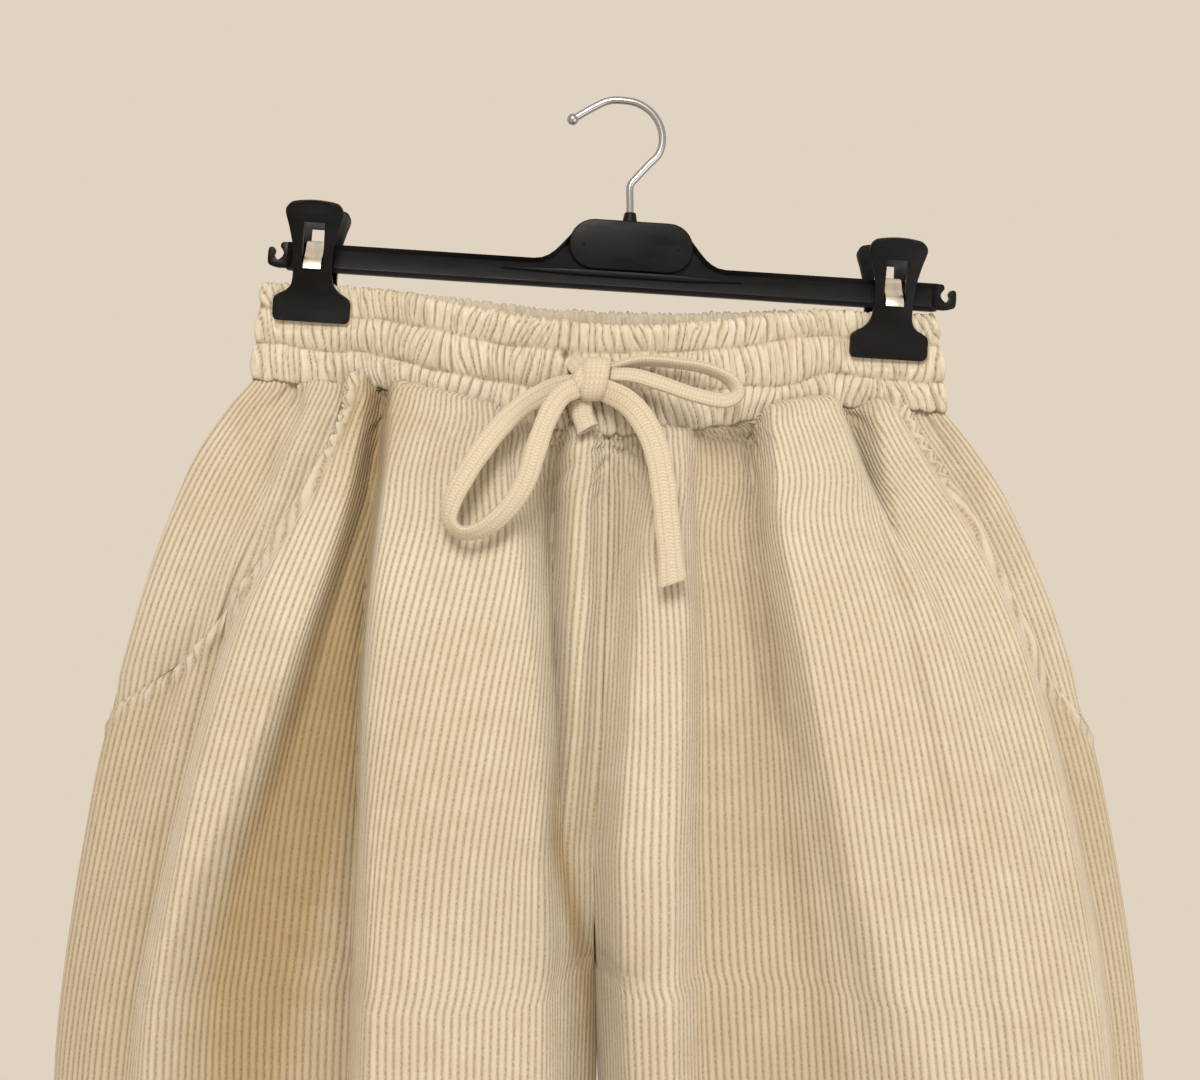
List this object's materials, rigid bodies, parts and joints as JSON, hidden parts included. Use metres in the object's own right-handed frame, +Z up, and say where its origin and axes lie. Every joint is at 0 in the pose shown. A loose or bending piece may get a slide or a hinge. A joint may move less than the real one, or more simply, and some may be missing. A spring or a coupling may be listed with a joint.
{
  "type": "corduroy trousers on a clip hanger",
  "caption": "Wide-leg corduroy trousers with a gathered elastic waist, slanted pockets and a drawstring bow, hung by the waistband from a clip hanger.",
  "frame": {"origin": "where a nail or rail bears on the hanger's hook: the underside of the wire at the top of its bend", "axes": "+Z up, +X towards the wearer's left side (the viewer's right), -Y towards the viewer, out of the garment's front"},
  "size_m": [0.5832, 0.1273, 1.1081],
  "materials": {
    "corduroy": "wide-wale cotton corduroy, cream beige, soft short pile",
    "drawcord": "flat knitted cotton tube, cream",
    "black_plastic": "moulded black plastic, satin",
    "hook_wire": "bright plated steel wire",
    "spring_steel": "bright spring steel strip"
  },
  "bodies": {
    "root": {"front_panel_right": "corduroy", "front_panel_left": "corduroy", "back_panel_right": "corduroy", "back_panel_left": "corduroy", "pocket_piece_right": "corduroy", "pocket_piece_left": "corduroy", "waistband_front": "corduroy", "waistband_back": "corduroy", "drawstring_knot": "drawcord", "drawstring_loop_right": "drawcord", "drawstring_loop_left": "drawcord", "drawstring_tail_long": "drawcord", "drawstring_tail_short": "drawcord", "drawstring_exit": "drawcord", "hanger_bar": "black_plastic", "clip_right_front_jaw": "black_plastic", "clip_right_back_jaw": "black_plastic", "clip_left_front_jaw": "black_plastic", "clip_left_back_jaw": "black_plastic", "clip_right_spring": "spring_steel", "clip_left_spring": "spring_steel", "hanger_hook": "hook_wire"}
  },
  "joints": []
}
